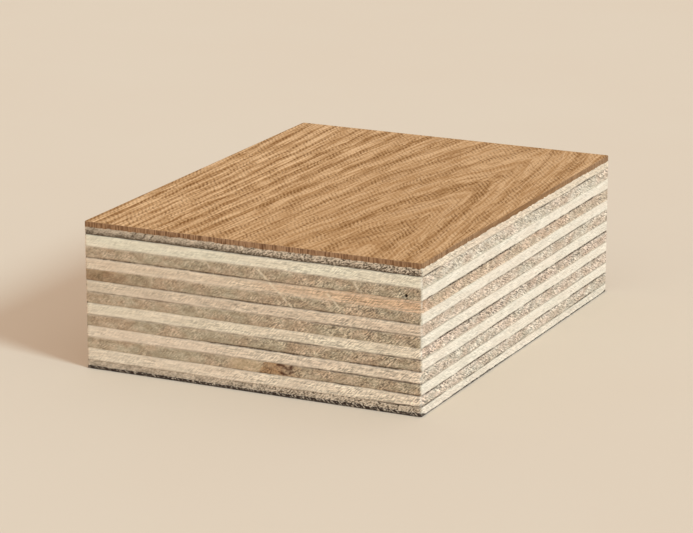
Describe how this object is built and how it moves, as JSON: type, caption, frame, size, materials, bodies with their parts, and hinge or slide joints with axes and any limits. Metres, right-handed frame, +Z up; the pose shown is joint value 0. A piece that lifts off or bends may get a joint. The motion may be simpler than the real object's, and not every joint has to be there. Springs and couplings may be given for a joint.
{
  "type": "plywood sample block",
  "caption": "Small sawn block of oak-faced birch plywood: cross-laid plies glued between a decorative face veneer and a thin back veneer, used as a material sample or packer.",
  "frame": {"origin": "middle of the underside, where the block stands", "axes": "+Z up through the plies to the oak face; +Y along the grain of the face veneer; +X across that grain"},
  "size_m": [0.046, 0.061, 0.019],
  "materials": {
    "oak_face": "open-grained oak veneer, sanded, unfinished",
    "birch_long": "sawn birch, end grain on the front and back, long grain on the sides",
    "birch_cross": "sawn birch, long grain on the front and back, end grain on the sides",
    "dark_back": "dark backing veneer, sawn edges"
  },
  "bodies": {
    "root": {"face_veneer": "oak_face", "ply_01_long": "birch_long", "ply_02_cross": "birch_cross", "ply_03_long": "birch_long", "ply_04_cross": "birch_cross", "ply_05_long": "birch_long", "ply_06_cross": "birch_cross", "ply_07_long": "birch_long", "ply_08_cross": "birch_cross", "ply_09_long": "birch_long", "ply_10_cross": "birch_cross", "ply_11_long": "birch_long", "ply_12_cross": "birch_cross", "ply_13_long": "birch_long", "back_veneer": "dark_back"}
  },
  "joints": []
}
